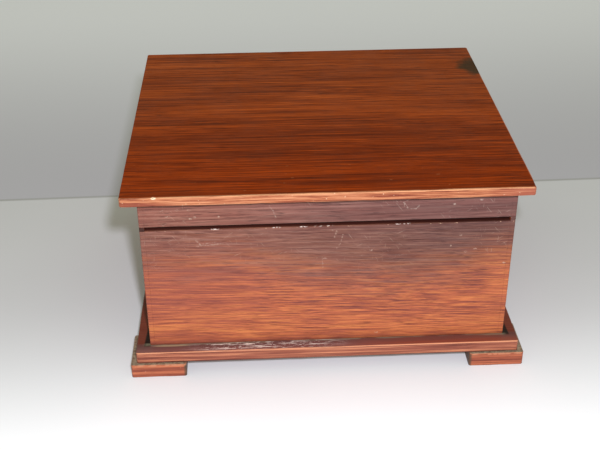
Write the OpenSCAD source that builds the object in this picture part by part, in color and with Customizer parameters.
// Jack in the box: a small mahogany box on four square feet, with a hinged, overhanging lid.
// Inside, a jester on a coil spring stands on a turned board, held down by the closed lid.
// Millimetres. +X right, +Y back, +Z up. The origin is on the floor at the middle of the footprint.

/* [Case] */
// Width of the box, outside its side panels
body_w = 186; // [170:1:210]
// Depth of the box, outside its front and back panels
body_d = 169; // [160:1:190]
// Thickness of the four panels and of the lid's rims
wall = 8; // [8:0.1:9]
// Height of the side and back panels
panel_h = 71.6; // [70:0.2:90]
// Thickness of the side panel's lip that covers the end of the front and back panels
lip = 2.6; // [2:0.1:3.5]
// How far the front panel's top edge lies below the seam
seam_gap = 2; // [0.5:0.1:2.5]

/* [Base] */
// Thickness of the base board
base_t = 6.4; // [5:0.1:9]
// How far the base board reaches past the panels on every side
base_overhang = 7; // [4:0.5:12]
// Height of the feet
foot_h = 8; // [6:0.1:14]
// Width of a foot
foot_w = 28.7; // [22:0.1:36]
// Depth of a foot
foot_d = 26.4; // [20:0.1:34]
// How far a foot reaches past the base board at the side
foot_reach_side = 3; // [1:0.1:5]
// How far a foot reaches past the base board at the front and back
foot_reach_front = 1.6; // [0.5:0.1:5]
// Corner radius of the lid board, the base board and the feet
corner_r = 1.2; // [0.4:0.1:2.5]

/* [Lid] */
// Thickness of the lid board
lid_t = 4.7; // [3:0.1:7]
// Height of the rims under the lid board
rim_h = 15.6; // [15:0.1:22]
// How far the lid board reaches past the rims
lid_overhang = 7; // [4:0.5:12]
// How far to the left of centre the lid board was glued on
lid_shift = 0.45; // [0:0.05:1]

/* [Hinges] */
// Length of a hinge
hinge_len = 28; // [24:0.5:34]
// Distance from the side of the case to the middle of a hinge
hinge_from_side = 41; // [33:1:55]
// Thickness of a hinge leaf
leaf_t = 0.9; // [0.7:0.05:1.2]
// Outer radius of a hinge knuckle
knuckle_r = 1.7; // [1.5:0.05:1.9]
// Radius of a hinge pin
hinge_pin_r = 0.8; // [0.6:0.05:0.9]
// How far the hinge pin lies inside the back face
hinge_inset = 2.2; // [2:0.05:2.4]
// Angle to which the bevelled back edges let the lid open
lid_stop = 106; // [95:1:120]

/* [Catch] */
// Width of the brass catch spring
catch_w = 10; // [7:0.5:14]
// Thickness of the catch spring
catch_t = 0.6; // [0.4:0.05:0.8]
// Thickness of the keeper on the lid
keeper_t = 0.8; // [0.6:0.05:1.2]
// Height of the part of the catch spring that is screwed down
catch_foot_h = 12; // [10:0.5:18]
// Height of the free part of the catch spring, up to the seam
catch_blade_h = 22; // [16:0.5:30]

/* [Spring] */
// Radius of the spring, to the middle of its wire
coil_r = 26; // [22:0.5:30]
// Radius of the spring wire
wire_r = 1; // [0.8:0.1:1.2]
// Number of turns
coil_turns = 7; // [5:1:8]
// Radius of the board that the spring stands on
stand_r = 33; // [31:0.5:38]
// Thickness of the board that the spring stands on
stand_t = 6; // [5:0.5:8]
// Thickness of the disc on top of the spring
disc_t = 4; // [3.5:0.5:6]

/* [Jack] */
// Radius of the turned wooden head
head_r = 19; // [16:0.5:19.5]
// Radius of the neck dowel
neck_r = 4.5; // [3.5:0.1:6]
// Height of the padded shoulders
shoulder_h = 9.6; // [8:0.2:10]
// Thickness of the felt of the cap and the ruff
felt_t = 1.4; // [1:0.1:1.8]
// Radius of the brass bells on the cap
bell_r = 4.2; // [3:0.1:5]
// Radius of the ruff to its points
ruff_r = 33; // [26:0.5:36]
// Length of an arm from the shoulder to the wrist
arm_len = 34; // [26:1:36]

/* [Hidden] */
$fn = 48;

// Clearances
fit = 0.05;        // round a fastener in its hole
run = 0.04;        // radial, hinge pin in knuckle
soft = 0.3;        // between a soft piece and its neighbour

// Heights
base_z = foot_h;
floor_z = base_z + base_t;
seam_z = floor_z + panel_h;
rim_z = seam_z + rim_h;

// Plan
half_w = body_w / 2;
half_d = body_d / 2;
inner_y = half_d - wall;
base_w = body_w + 2 * base_overhang;
base_d = body_d + 2 * base_overhang;
lid_w = body_w + 2 * lid_overhang;
lid_d = body_d + 2 * lid_overhang;
foot_x = base_w / 2 + foot_reach_side - foot_w / 2;
foot_y = base_d / 2 + foot_reach_front - foot_d / 2;

// Hinge line
axis_y = half_d - hinge_inset;
hinge_x = half_w - hinge_from_side;
knuckle_gap = 0.1;
middle_knuckle = hinge_len * 0.42;
leaf_reach = wall - hinge_inset - 0.2;
leaf_lift = 0.04;                        // from the seam plane to each leaf
hinge_screw_y = axis_y - (knuckle_r + leaf_reach) / 2 - 0.1;
hinge_screw_x = hinge_len * 0.32;
hinge_screw_r = 0.8;
hinge_screw_len = 8;
hinge_head_r = 1.5;

// Brads
brad_r = 0.6;
brad_head_r = 1.1;
brad_head_h = 0.5;
brad_sink = 0.3;
brad_bite = 11;                          // into the second board
foot_brad_len = foot_h + base_t * 0.7;
base_brad_len = base_t + brad_bite;
corner_brad_len = lip + brad_bite;

// Catch
root_z = seam_z - catch_blade_h;
catch_y = -inner_y;
blade_gap = 0.3;                         // between the keeper and the blade that stands behind it
blade_set = keeper_t + blade_gap;        // how far the blade stands off the panel
nose_reach = blade_set - 0.1;            // how far the blade's nose comes back over the keeper
nose_h = 3.3;                            // from the underside of the nose to the blade's tip
nose_gap = 0.1;                          // between the keeper's bar and the nose
blade_straight = 3;                      // upright length of the blade below the seam
blade_root_gap = 0.15;
screw_r = 0.9;
screw_head_r = 1.7;
catch_screw_len = wall - 2;
keeper_lift = 0.8;                       // from the seam to the keeper's bar
keeper_bar_h = 2.2;
keeper_leg_h = 4.8;
keeper_leg_w = 5.4;
keeper_side_gap = 0.6;
keeper_pin_len = wall - 2;
keeper_z = seam_z + keeper_lift;

// Jack, from the closed lid down to the disc on the spring
ruff_step = felt_t + 0.4;
head_seat = 0.2;                         // the head's foot to the upper ruff
head_z = rim_z - soft - felt_t - soft - head_r;
ruff_z = head_z - head_r - 2 * ruff_step;
shoulder_z = ruff_z - soft - shoulder_h;
disc_top = shoulder_z - soft;
disc_z = disc_top - disc_t;
neck_top = head_z - 2;
neck_bottom = disc_z + 0.5;
disc_rim = 2;                            // from the spring to the disc's edge
disc_r = coil_r + wire_r + disc_rim;
shoulder_r = disc_r + 0.5;

// Spring, between the stand and the disc
stand_z = floor_z + stand_t;
coil_gap = 0.1;
coil_h = disc_z - stand_z - 2 * coil_gap;
flat_turn = 0.7;                         // share of a turn that lies flat at each end
staple_r = 0.5;
staple_gap = 0.3;
staple_leg = 3;
coil_step = 2 * wire_r + 2 * staple_r + staple_gap;
stand_screw_r = coil_r * 0.55;           // of the circle of screws inside the coil
stand_screw_len = stand_t + base_t * 0.7;

// Sleeve
sleeve_t = 1.4;
sleeve_gap = 0.5;
sleeve_hem = 2.6;                        // how far the sleeve's top hem reaches over the disc's edge
sleeve_room = 2.4;                       // between the spring and the sleeve
pleat_root = 3.2;                        // thickness of the gathers at their roots
pleat_depth = 4;
sleeve_bore = coil_r + wire_r + sleeve_room;
sleeve_z0 = floor_z + soft;
sleeve_z1 = disc_z + sleeve_hem;
pleats = 6;
pleat_in = sleeve_bore + pleat_root;
pleat_out = pleat_in + pleat_depth;
hem_tack_z = disc_z + sleeve_hem / 2;
tack_r = 0.5;
tack_head_r = 1.3;
tack_head_h = 0.5;
tack_grip = 3;
tack_z = floor_z + stand_t / 2;
stand_tacks = 8;
hem_tacks = 6;

// Head, cap and ruff
ruff_points = 12;
ruff_notch = 0.74;                       // share of the ruff's radius at its notches
head_foot_r = head_r * 0.42;
head_foot_h = head_r * 0.3;
nose_r = head_r * 0.17;
nose_peg_r = 1;
nose_peg_len = 2.4;
bell_wall = 0.7;
bell_slot = 0.8;
bell_gap = soft;
pellet_r = 1.2;

// Arms: shoulder, elbow and wrist of the right one
arm_r = shoulder_h * 0.48;
arm_z = shoulder_z + shoulder_h / 2;
arm_x = shoulder_r + soft;
joint = [
    [arm_x, 0, arm_z],
    [arm_x + arm_len * 0.44, -arm_len * 0.06, arm_z + arm_len * 0.02],
    [arm_x + arm_len * 0.76, -arm_len * 0.28, arm_z - arm_len * 0.34]
];
hand_dir = (joint[2] - joint[1]) / norm(joint[2] - joint[1]);
cuff_gap = 0.4;
cuff_r = arm_r + 1.6;
cuff_h = 2.2;
palm_r = 4.6;
hand_len = 11;

// A rectangle with round corners, centred
module round_rect(w, d, r) {
    square([w - 2 * r, d], center = true);
    square([w, d - 2 * r], center = true);
    for (x = [-1, 1], y = [-1, 1])
        translate([x * (w / 2 - r), y * (d / 2 - r)]) circle(r);
}

// A board with round corners, lying flat with its underside at z = 0
module board(w, d, t, r = corner_r) {
    linear_extrude(t) round_rect(w, d, r);
}

// A brad pointing along +Z, with its head sunk under the surface z = 0; grow widens it into its own hole
module brad(length, grow = 0, sink = brad_sink) {
    z0 = grow > 0 ? -grow : sink;
    translate([0, 0, z0]) cylinder(r = brad_head_r + grow, h = sink + brad_head_h - z0);
    translate([0, 0, sink]) cylinder(r = brad_r + grow, h = length - sink + grow);
}

// A flat-headed screw pointing along -Z with its head's top at z = 0
module screw(r, head_r, length, grow = 0) {
    head_h = head_r - r;
    difference() {
        union() {
            translate([0, 0, -head_h - grow]) cylinder(r1 = r + grow, r2 = head_r + grow, h = head_h + grow);
            translate([0, 0, -length - grow]) cylinder(r = r + grow, h = length + grow);
        }
        if (grow == 0) cube([2 * head_r + 1, 0.45, 0.7], center = true);
    }
}

// Places of the brads that hold a foot
module at_foot_brads(sx, sy) {
    for (d = [-1, 1])
        translate([sx * (foot_x + d * foot_w * 0.25), sy * (foot_y - d * foot_d * 0.2), 0]) children();
}

// Places of the brads that hold the panels on the base board
module at_base_brads() {
    for (x = [-1, 0, 1], y = [-1, 1])
        translate([x * body_w * 0.3, y * (half_d - wall / 2), base_z]) children();
    for (x = [-1, 1], y = [-1, 0, 1])
        translate([x * (half_w - wall / 2), y * body_d * 0.27, base_z]) children();
}

// Places of the brads through the lips into the ends of two boards of height h standing at z
module at_corner_brads(h, z, n) {
    for (sx = [-1, 1], sy = [-1, 1], i = [1:n])
        translate([sx * half_w, sy * (half_d - wall / 2), z + h * (i - 0.5) / n])
            rotate([0, -90 * sx, 0]) children();
}

// Half-space behind the hinge line, cut back so that the lid stops; up is 1 for the lid and -1 for the case
module back_bevel(up) {
    a = lid_stop / 2;
    reach = 2 * hinge_inset;
    translate([half_w + 1, axis_y, seam_z])
        rotate([90, 0, -90])
            linear_extrude(body_w + 2)
                polygon([[0, 0], [-reach, 0], [-reach, up * reach * tan(a)]]);
}

// The room that a hinge takes out of the wood
module hinge_room(x, up) {
    depth = leaf_lift + leaf_t;
    translate([x - hinge_len / 2 - fit, 0, 0]) {
        translate([0, axis_y - leaf_reach - fit, up > 0 ? seam_z : seam_z - depth - fit])
            cube([hinge_len + 2 * fit, leaf_reach + fit, depth + fit]);
        translate([0, axis_y, seam_z]) rotate([0, 90, 0])
            cylinder(r = knuckle_r + 0.15, h = hinge_len + 2 * fit);
    }
    for (s = [-1, 1])
        translate([x + s * hinge_screw_x, hinge_screw_y, seam_z + up * leaf_lift])
            rotate([up > 0 ? 180 : 0, 0, 0]) screw(hinge_screw_r, hinge_head_r, hinge_screw_len, fit);
}

// A hinge leaf with its knuckles; up is 1 for the lid's leaf and -1 for the case's
module hinge_leaf(x, up) {
    outer = (hinge_len - middle_knuckle) / 2;
    own = up > 0 ? [[outer, middle_knuckle]] : [[0, outer], [hinge_len - outer, outer]];
    other = up > 0 ? [[0, outer], [hinge_len - outer, outer]] : [[outer, middle_knuckle]];
    z0 = up > 0 ? seam_z + leaf_lift : seam_z - leaf_lift - leaf_t;
    color("darkgoldenrod") difference() {
        union() {
            translate([x - hinge_len / 2, axis_y - leaf_reach, z0])
                cube([hinge_len, leaf_reach - hinge_pin_r - 0.4, leaf_t]);
            for (k = own)
                translate([x - hinge_len / 2 + k[0] + knuckle_gap / 2, axis_y, seam_z])
                    rotate([0, 90, 0]) cylinder(r = knuckle_r, h = k[1] - knuckle_gap);
        }
        for (k = other)
            translate([x - hinge_len / 2 + k[0] - knuckle_gap / 2, axis_y, seam_z])
                rotate([0, 90, 0]) cylinder(r = knuckle_r + 0.15, h = k[1] + knuckle_gap);
        translate([x - hinge_len / 2 - 1, axis_y, seam_z])
            rotate([0, 90, 0]) cylinder(r = hinge_pin_r + run, h = hinge_len + 2);
        for (s = [-1, 1])
            translate([x + s * hinge_screw_x, hinge_screw_y, seam_z + up * leaf_lift])
                rotate([up > 0 ? 180 : 0, 0, 0]) screw(hinge_screw_r, hinge_head_r, hinge_screw_len, fit);
    }
}

module hinge_pin(x) {
    color("goldenrod")
        translate([x - hinge_len / 2, axis_y, seam_z]) rotate([0, 90, 0])
            cylinder(r = hinge_pin_r, h = hinge_len);
}

module hinge_screws(up) {
    color("gold")
        for (x = [-hinge_x, hinge_x], s = [-1, 1])
            translate([x + s * hinge_screw_x, hinge_screw_y, seam_z + up * leaf_lift])
                rotate([up > 0 ? 180 : 0, 0, 0]) screw(hinge_screw_r, hinge_head_r, hinge_screw_len);
}

// A side board of the case or the lid, rabbeted at both ends; side is -1 for left and 1 for right
module side_board(side, h, z) {
    translate([side * (half_w - wall / 2), 0, z])
        difference() {
            translate([-wall / 2, -half_d, 0]) cube([wall, body_d, h]);
            for (sy = [-1, 1])
                translate([-side * lip, sy * (inner_y + wall), h / 2])
                    cube([wall, 2 * wall, h + 2], center = true);
        }
}

// A front or back board that fits between the lips; side is -1 for front and 1 for back
module end_board(side, h, z) {
    translate([-half_w + lip, side * (half_d - wall / 2) - wall / 2, z])
        cube([body_w - 2 * lip, wall, h]);
}

module base_board() {
    color("sienna") difference() {
        translate([0, 0, base_z]) board(base_w, base_d, base_t);
        at_base_brads() brad(base_brad_len, fit);
        for (sx = [-1, 1], sy = [-1, 1]) at_foot_brads(sx, sy) brad(foot_brad_len, fit);
        at_stand_screws() screw(screw_r, screw_head_r, stand_screw_len, fit);
    }
}

module front_panel() {
    color("sienna") difference() {
        end_board(-1, panel_h - seam_gap, floor_z);
        at_base_brads() brad(base_brad_len, fit);
        at_corner_brads(panel_h - seam_gap, floor_z, 3) brad(corner_brad_len, fit);
        at_catch_screws() screw(screw_r, screw_head_r, catch_screw_len, fit);
    }
}

module back_panel() {
    color("sienna") difference() {
        end_board(1, panel_h, floor_z);
        at_base_brads() brad(base_brad_len, fit);
        at_corner_brads(panel_h - seam_gap, floor_z, 3) brad(corner_brad_len, fit);
        back_bevel(-1);
        for (x = [-hinge_x, hinge_x]) hinge_room(x, -1);
    }
}

module side_panel(side) {
    color("saddlebrown") difference() {
        side_board(side, panel_h, floor_z);
        at_base_brads() brad(base_brad_len, fit);
        at_corner_brads(panel_h - seam_gap, floor_z, 3) brad(corner_brad_len, fit);
        back_bevel(-1);
    }
}

module foot(sx, sy) {
    color("sienna") difference() {
        translate([sx * foot_x, sy * foot_y, 0]) board(foot_w, foot_d, foot_h);
        at_foot_brads(sx, sy) brad(foot_brad_len, fit);
    }
}

module foot_brads() {
    color("dimgray")
        for (sx = [-1, 1], sy = [-1, 1]) at_foot_brads(sx, sy) brad(foot_brad_len);
}

module base_brads() {
    color("dimgray") at_base_brads() brad(base_brad_len);
}

module corner_brads() {
    color("dimgray") at_corner_brads(panel_h - seam_gap, floor_z, 3) brad(corner_brad_len);
}

module lid_board() {
    color("brown") translate([-lid_shift, 0, rim_z]) board(lid_w, lid_d, lid_t);
}

module rim_front() {
    color("sienna") difference() {
        end_board(-1, rim_h, seam_z);
        at_corner_brads(rim_h, seam_z, 1) brad(corner_brad_len, fit);
        at_keeper_pins() brad(keeper_pin_len, fit, 0);
    }
}

module rim_back() {
    color("sienna") difference() {
        end_board(1, rim_h, seam_z);
        at_corner_brads(rim_h, seam_z, 1) brad(corner_brad_len, fit);
        back_bevel(1);
        for (x = [-hinge_x, hinge_x]) hinge_room(x, 1);
    }
}

module rim_side(side) {
    color("saddlebrown") difference() {
        side_board(side, rim_h, seam_z);
        at_corner_brads(rim_h, seam_z, 1) brad(corner_brad_len, fit);
        back_bevel(1);
    }
}

module rim_brads() {
    color("dimgray") at_corner_brads(rim_h, seam_z, 1) brad(corner_brad_len);
}

// Places of the screws that hold the catch spring, pointing into the front panel
module at_catch_screws() {
    for (i = [-1, 1])
        translate([i * catch_w * 0.24, catch_y + catch_t, root_z - catch_foot_h / 2 + i * catch_foot_h * 0.2])
            rotate([-90, 0, 0]) children();
}

// The screwed-down part of the catch spring
module catch_foot() {
    color("gold") difference() {
        translate([-catch_w / 2, catch_y, root_z - catch_foot_h]) cube([catch_w, catch_t, catch_foot_h]);
        at_catch_screws() screw(screw_r, screw_head_r, catch_screw_len, fit);
    }
}

module catch_screws() {
    color("goldenrod") at_catch_screws() screw(screw_r, screw_head_r, catch_screw_len);
}

// The free part of the catch spring: it leans off the panel, passes behind the keeper and noses over it
module catch_blade() {
    lean_z = catch_blade_h - blade_straight;
    nose_z = catch_blade_h + keeper_lift + keeper_bar_h + nose_gap;
    tip_z = nose_z + nose_h;
    front = [
        [0, blade_root_gap], [blade_set, lean_z], [blade_set, nose_z],
        [blade_set - nose_reach, nose_z + 0.3 * nose_h], [blade_set + catch_t, tip_z]
    ];
    color("gold") translate([-catch_w / 2, catch_y, root_z]) rotate([90, 0, 90]) linear_extrude(catch_w)
        polygon(concat(front, [for (i = [4:-1:0]) front[i] + [catch_t, 0]]));
}

// Places of the pins that hold the keeper, pointing into the front rim
module at_keeper_pins() {
    for (i = [-1, 1])
        translate([
            i * (catch_w / 2 + keeper_side_gap + keeper_leg_w / 2), catch_y + keeper_t,
            keeper_z + keeper_bar_h + keeper_leg_h / 2
        ])
            rotate([90, 0, 0]) children();
}

// A brass U on the front rim: the blade's nose rests over its bar, between its legs
module catch_keeper() {
    gate_w = catch_w + 2 * keeper_side_gap;
    w = gate_w + 2 * keeper_leg_w;
    h = keeper_bar_h + keeper_leg_h;
    color("gold") difference() {
        translate([-w / 2, catch_y, keeper_z]) cube([w, keeper_t, h]);
        translate([-gate_w / 2, catch_y - 1, keeper_z + keeper_bar_h]) cube([gate_w, keeper_t + 2, h]);
        at_keeper_pins() brad(keeper_pin_len, fit, 0);
    }
}

module keeper_pins() {
    color("goldenrod") at_keeper_pins() brad(keeper_pin_len, 0, 0);
}

// Places of the screws inside the coil that hold the stand on the base board
module at_stand_screws() {
    for (a = [90:120:330]) rotate(a) translate([stand_screw_r, 0, stand_z]) children();
}

// Places round a disc's edge for n tacks that point inwards at height z
module at_edge(r, z, n) {
    for (i = [0:n - 1]) rotate((i + 0.5) * 360 / n) translate([r, 0, z]) rotate([0, -90, 0]) children();
}

// A tack pointing along +Z from under its flat head
module tack(grow = 0) {
    translate([0, 0, -tack_head_h]) cylinder(r = tack_head_r + grow, h = tack_head_h);
    cylinder(r = tack_r + grow, h = sleeve_t + sleeve_gap + tack_grip + grow);
}

// Places of the tacks round the stand and round the top disc
module at_stand_tacks() {
    at_edge(stand_r + sleeve_gap + sleeve_t, tack_z, stand_tacks) children();
}

module at_hem_tacks() {
    at_edge(disc_r + sleeve_gap + sleeve_t, hem_tack_z, hem_tacks) children();
}

// A staple that bridges the wire at radius coil_r, with its legs pointing down from the wire's middle
module staple(grow = 0) {
    reach = wire_r + staple_r + staple_gap;
    for (s = [-1, 1])
        translate([s * reach, 0, -staple_leg - grow])
            cylinder(r = staple_r + grow, h = staple_leg + grow, $fn = 16);
    rotate([90, 0, 0]) rotate_extrude(angle = 180, $fn = 32)
        translate([reach, 0]) circle(staple_r + grow, $fn = 16);
}

// Three staples hold a flat end turn of the spring; way is 1 for the lower end and -1 for the upper one
module at_staples(way) {
    for (a = [45:90:225]) rotate(way * a) translate([coil_r, 0, 0]) children();
}

module at_stand_staples() {
    translate([0, 0, stand_z + coil_gap + wire_r]) at_staples(1) children();
}

module at_disc_staples() {
    translate([0, 0, disc_z - coil_gap - wire_r]) at_staples(-1) rotate([180, 0, 0]) children();
}

module spring_stand() {
    color("burlywood") difference() {
        translate([0, 0, floor_z]) cylinder(r = stand_r, h = stand_t, $fn = 96);
        at_stand_screws() screw(screw_r, screw_head_r, stand_screw_len, fit);
        at_stand_staples() staple(fit);
        at_stand_tacks() tack(fit);
    }
}

module stand_screws() {
    color("silver") at_stand_screws() screw(screw_r, screw_head_r, stand_screw_len);
}

module spring_staples() {
    color("silver") at_stand_staples() staple();
}

// Height of the wire's middle after t turns: a flat end turn, one step over it, then an even pitch
function coil_rise(t) =
    let (rise = coil_h - 2 * wire_r, pitch = (rise - 2 * coil_step) / (coil_turns - 2))
    t > coil_turns / 2 ? rise - coil_rise(coil_turns - t)
    : t > 1 ? coil_step + pitch * (t - 1)
    : t > flat_turn ? coil_step * (t - flat_turn) / (1 - flat_turn)
    : 0;

// A point on the wire's surface: t turns along it and at the angle s round it
function coil_point(t, s) =
    let (r = coil_r + wire_r * cos(s))
    [r * cos(360 * t), r * sin(360 * t), wire_r + coil_rise(t) + wire_r * sin(s)];

// The coil spring, held down: a wire swept along a helix with flat ends
module jack_spring() {
    per_turn = 20;
    n = coil_turns * per_turn;
    m = 8;
    points = [for (i = [0:n], j = [0:m - 1]) coil_point(i / per_turn, 360 * j / m)];
    wire = [
        for (i = [0:n - 1], j = [0:m - 1])
            let (a = i * m + j, b = i * m + (j + 1) % m)
            each [[a, b, a + m], [b, b + m, a + m]]
    ];
    first = [for (j = [0:m - 1]) m - 1 - j];
    last = [for (j = [0:m - 1]) n * m + j];
    color("slategray") translate([0, 0, stand_z + coil_gap])
        polyhedron(points, concat([first], wire, [last]));
}

// The gathered cotton tube round the spring, hemmed round the stand and round the top disc
module costume_sleeve() {
    foot_in = stand_r + sleeve_gap;
    foot_out = foot_in + sleeve_t;
    hem_in = disc_r + sleeve_gap;
    hem_out = hem_in + sleeve_t;
    fold_z0 = stand_z + 2 * soft;
    fold_z1 = disc_z - sleeve_t;
    fold = (fold_z1 - fold_z0) / (2 * pleats);
    color("firebrick") difference() {
        rotate_extrude($fn = 96) polygon(concat(
            [[foot_in, sleeve_z0], [foot_out, sleeve_z0], [foot_out, stand_z]],
            [for (i = [0:2 * pleats]) [i % 2 == 0 ? pleat_in : pleat_out, fold_z0 + i * fold]],
            [[hem_out, disc_z], [hem_out, sleeve_z1], [hem_in, sleeve_z1], [hem_in, disc_z - soft]],
            [[sleeve_bore, fold_z1 - soft], [sleeve_bore, fold_z0], [foot_in, stand_z + soft]]
        ));
        at_stand_tacks() tack(fit);
        at_hem_tacks() tack(fit);
    }
}

module sleeve_tacks() {
    color("goldenrod") at_stand_tacks() tack();
}

module disc_tacks() {
    color("goldenrod") at_hem_tacks() tack();
}

module top_disc() {
    color("burlywood") difference() {
        translate([0, 0, disc_z]) cylinder(r = disc_r, h = disc_t, $fn = 96);
        at_disc_staples() staple(fit);
        translate([0, 0, neck_bottom]) cylinder(r = neck_r + fit, h = disc_t + 2);
        at_hem_tacks() tack(fit);
    }
}

module disc_staples() {
    color("silver") at_disc_staples() staple();
}

module neck_dowel() {
    color("burlywood") translate([0, 0, neck_bottom + fit])
        cylinder(r = neck_r, h = neck_top - neck_bottom - 2 * fit);
}

// Padded shoulders: a stuffed ring round the neck that carries the arms
module shoulders() {
    bore_r = neck_r + soft;
    edge_r = shoulder_h / 2;
    color("firebrick") translate([0, 0, shoulder_z]) rotate_extrude($fn = 96) {
        translate([bore_r, 0]) square([shoulder_r - edge_r - bore_r, shoulder_h]);
        intersection() {
            translate([shoulder_r - edge_r, edge_r]) circle(edge_r);
            translate([shoulder_r - edge_r, 0]) square(shoulder_h);
        }
    }
}

// A felt star with a hole for the neck; layer is 0 for the lower and 1 for the upper one
module ruff(layer) {
    r = ruff_r * (1 - 0.2 * layer);
    color("khaki") translate([0, 0, ruff_z + layer * ruff_step]) linear_extrude(felt_t) difference() {
        polygon([
            for (i = [0:2 * ruff_points - 1])
                let (a = (i + layer) * 180 / ruff_points, q = i % 2 == 0 ? r : r * ruff_notch)
                [q * cos(a), q * sin(a)]
        ]);
        circle(neck_r + soft);
    }
}

// The turned head: a ball on a short foot, bored for the dowel
module head_shape(grow = 0) {
    translate([0, 0, head_z]) sphere(head_r + grow, $fn = 72);
    translate([0, 0, head_z - head_r - head_seat])
        cylinder(r = head_foot_r + grow, h = head_foot_h, $fn = 72);
}

module head() {
    color("peachpuff") difference() {
        head_shape();
        translate([0, 0, neck_bottom]) cylinder(r = neck_r + fit, h = neck_top - neck_bottom + fit);
        at_nose() translate([0, 0, -nose_peg_len - fit])
            cylinder(r = nose_peg_r + fit, h = nose_peg_len + nose_r);
    }
}

// The nose's place on the face, with +Z pointing out of it
module at_nose() {
    translate([0, -head_r, head_z - head_r * 0.08]) rotate([90, 0, 0]) children();
}

module nose() {
    color("indianred") at_nose() {
        difference() {
            translate([0, 0, nose_r * 0.6]) sphere(nose_r);
            translate([0, 0, fit - 2 * nose_r]) cylinder(r = 2 * nose_r, h = 2 * nose_r);
        }
        translate([0, 0, -nose_peg_len]) cylinder(r = nose_peg_r, h = nose_peg_len + nose_r * 0.6);
    }
}

// Balls along a cap horn as [out, up, radius]: over the crown, then out and down to the bell
horn = [
    [head_r * 0.30, head_r * 0.72, head_r * 0.34],
    [head_r * 1.02, head_r * 0.74, head_r * 0.24],
    [head_r * 1.62, head_r * 0.28, head_r * 0.13],
    [head_r * 1.82, -head_r * 0.22, head_r * 0.06]
];

// One horn to each side and one to the back
module at_horns() {
    for (a = [0, 90, 180]) rotate(a) translate([0, 0, head_z]) children();
}

// The felt jester cap, hollow over the head
module cap() {
    brim_z = head_r * 0.2;
    color("darkgreen") difference() {
        union() {
            translate([0, 0, head_z]) intersection() {
                sphere(head_r + soft + felt_t);
                translate([0, 0, brim_z]) cylinder(r = 2 * head_r, h = 2 * head_r);
            }
            at_horns() for (i = [0:2]) hull() {
                translate([horn[i][0], 0, horn[i][1]]) sphere(horn[i][2], $fn = 20);
                translate([horn[i + 1][0], 0, horn[i + 1][1]]) sphere(horn[i + 1][2], $fn = 20);
            }
        }
        head_shape(soft);
    }
}

// Places of the bells, under the tips of the horns
module at_bells() {
    at_horns() translate([horn[3][0], 0, horn[3][1] - horn[3][2] - bell_gap - bell_r]) children();
}

module cap_bells() {
    color("goldenrod") at_bells() difference() {
        sphere(bell_r);
        sphere(bell_r - bell_wall);
        translate([0, 0, -bell_r]) cube([bell_slot, bell_r * 1.6, bell_r * 1.2], center = true);
    }
}

module bell_pellets() {
    color("dimgray") at_bells() translate([0, 0, -(bell_r - bell_wall - pellet_r - fit)]) sphere(pellet_r);
}

// The arms are made for the right side; side is -1 for the left
module sided(side) {
    if (side < 0) mirror([1, 0, 0]) children();
    else children();
}

// At the wrist, with +Z along the forearm
module at_wrist() {
    translate(joint[2]) rotate([0, acos(hand_dir[2]), atan2(hand_dir[1], hand_dir[0])]) children();
}

// A stuffed sleeve from the shoulder over the elbow to the wrist
module arm(side) {
    color("firebrick") sided(side) difference() {
        for (i = [0, 1]) hull() {
            translate(joint[i]) sphere(arm_r, $fn = 20);
            translate(joint[i + 1]) sphere(arm_r, $fn = 20);
        }
        translate([arm_x - arm_len, 0, arm_z]) cube(2 * arm_len, center = true);
        at_wrist() translate([-arm_len, -arm_len, cuff_gap]) cube(2 * arm_len);
    }
}

module cuff(side) {
    color("khaki") sided(side) at_wrist() translate([0, 0, 2 * cuff_gap])
        cylinder(r = cuff_r, h = cuff_h, $fn = 32);
}

// A flat-backed wooden mitten that stands on the cuff
module hand(side) {
    base = 3 * cuff_gap + cuff_h;
    color("peachpuff") sided(side) at_wrist() difference() {
        union() {
            hull() {
                translate([0, 0, base]) sphere(palm_r * 0.74, $fn = 20);
                translate([0, 0, base + hand_len - palm_r]) sphere(palm_r, $fn = 20);
            }
            hull() {
                translate([0, -palm_r * 0.6, base + hand_len * 0.3]) sphere(palm_r * 0.4, $fn = 16);
                translate([0, -palm_r * 1.3, base + hand_len * 0.6]) sphere(palm_r * 0.34, $fn = 16);
            }
        }
        translate([0, 0, base - hand_len]) cylinder(r = hand_len, h = hand_len);
    }
}

base_board();
front_panel();
back_panel();
side_panel(-1);  // left_panel
side_panel(1);  // right_panel
foot(-1, -1);  // foot_front_left
foot(1, -1);  // foot_front_right
foot(-1, 1);  // foot_back_left
foot(1, 1);  // foot_back_right
foot_brads();
base_brads();
corner_brads();
hinge_leaf(-hinge_x, -1);  // case_hinge_leaf_left
hinge_leaf(hinge_x, -1);  // case_hinge_leaf_right
hinge_pin(-hinge_x);  // hinge_pin_left
hinge_pin(hinge_x);  // hinge_pin_right
hinge_screws(-1);  // case_hinge_screws
catch_foot();
catch_screws();
catch_blade();
spring_stand();
stand_screws();
spring_staples();
sleeve_tacks();
jack_spring();
costume_sleeve();
lid_board();
rim_front();
rim_back();
rim_side(-1);  // rim_left
rim_side(1);  // rim_right
rim_brads();
hinge_leaf(-hinge_x, 1);  // lid_hinge_leaf_left
hinge_leaf(hinge_x, 1);  // lid_hinge_leaf_right
hinge_screws(1);  // lid_hinge_screws
catch_keeper();
keeper_pins();
top_disc();
disc_staples();
disc_tacks();
neck_dowel();
shoulders();
ruff(0);  // ruff_lower
ruff(1);  // ruff_upper
head();
nose();
cap();
cap_bells();
bell_pellets();
arm(-1);  // arm_left
arm(1);  // arm_right
cuff(-1);  // cuff_left
cuff(1);  // cuff_right
hand(-1);  // hand_left
hand(1);  // hand_right
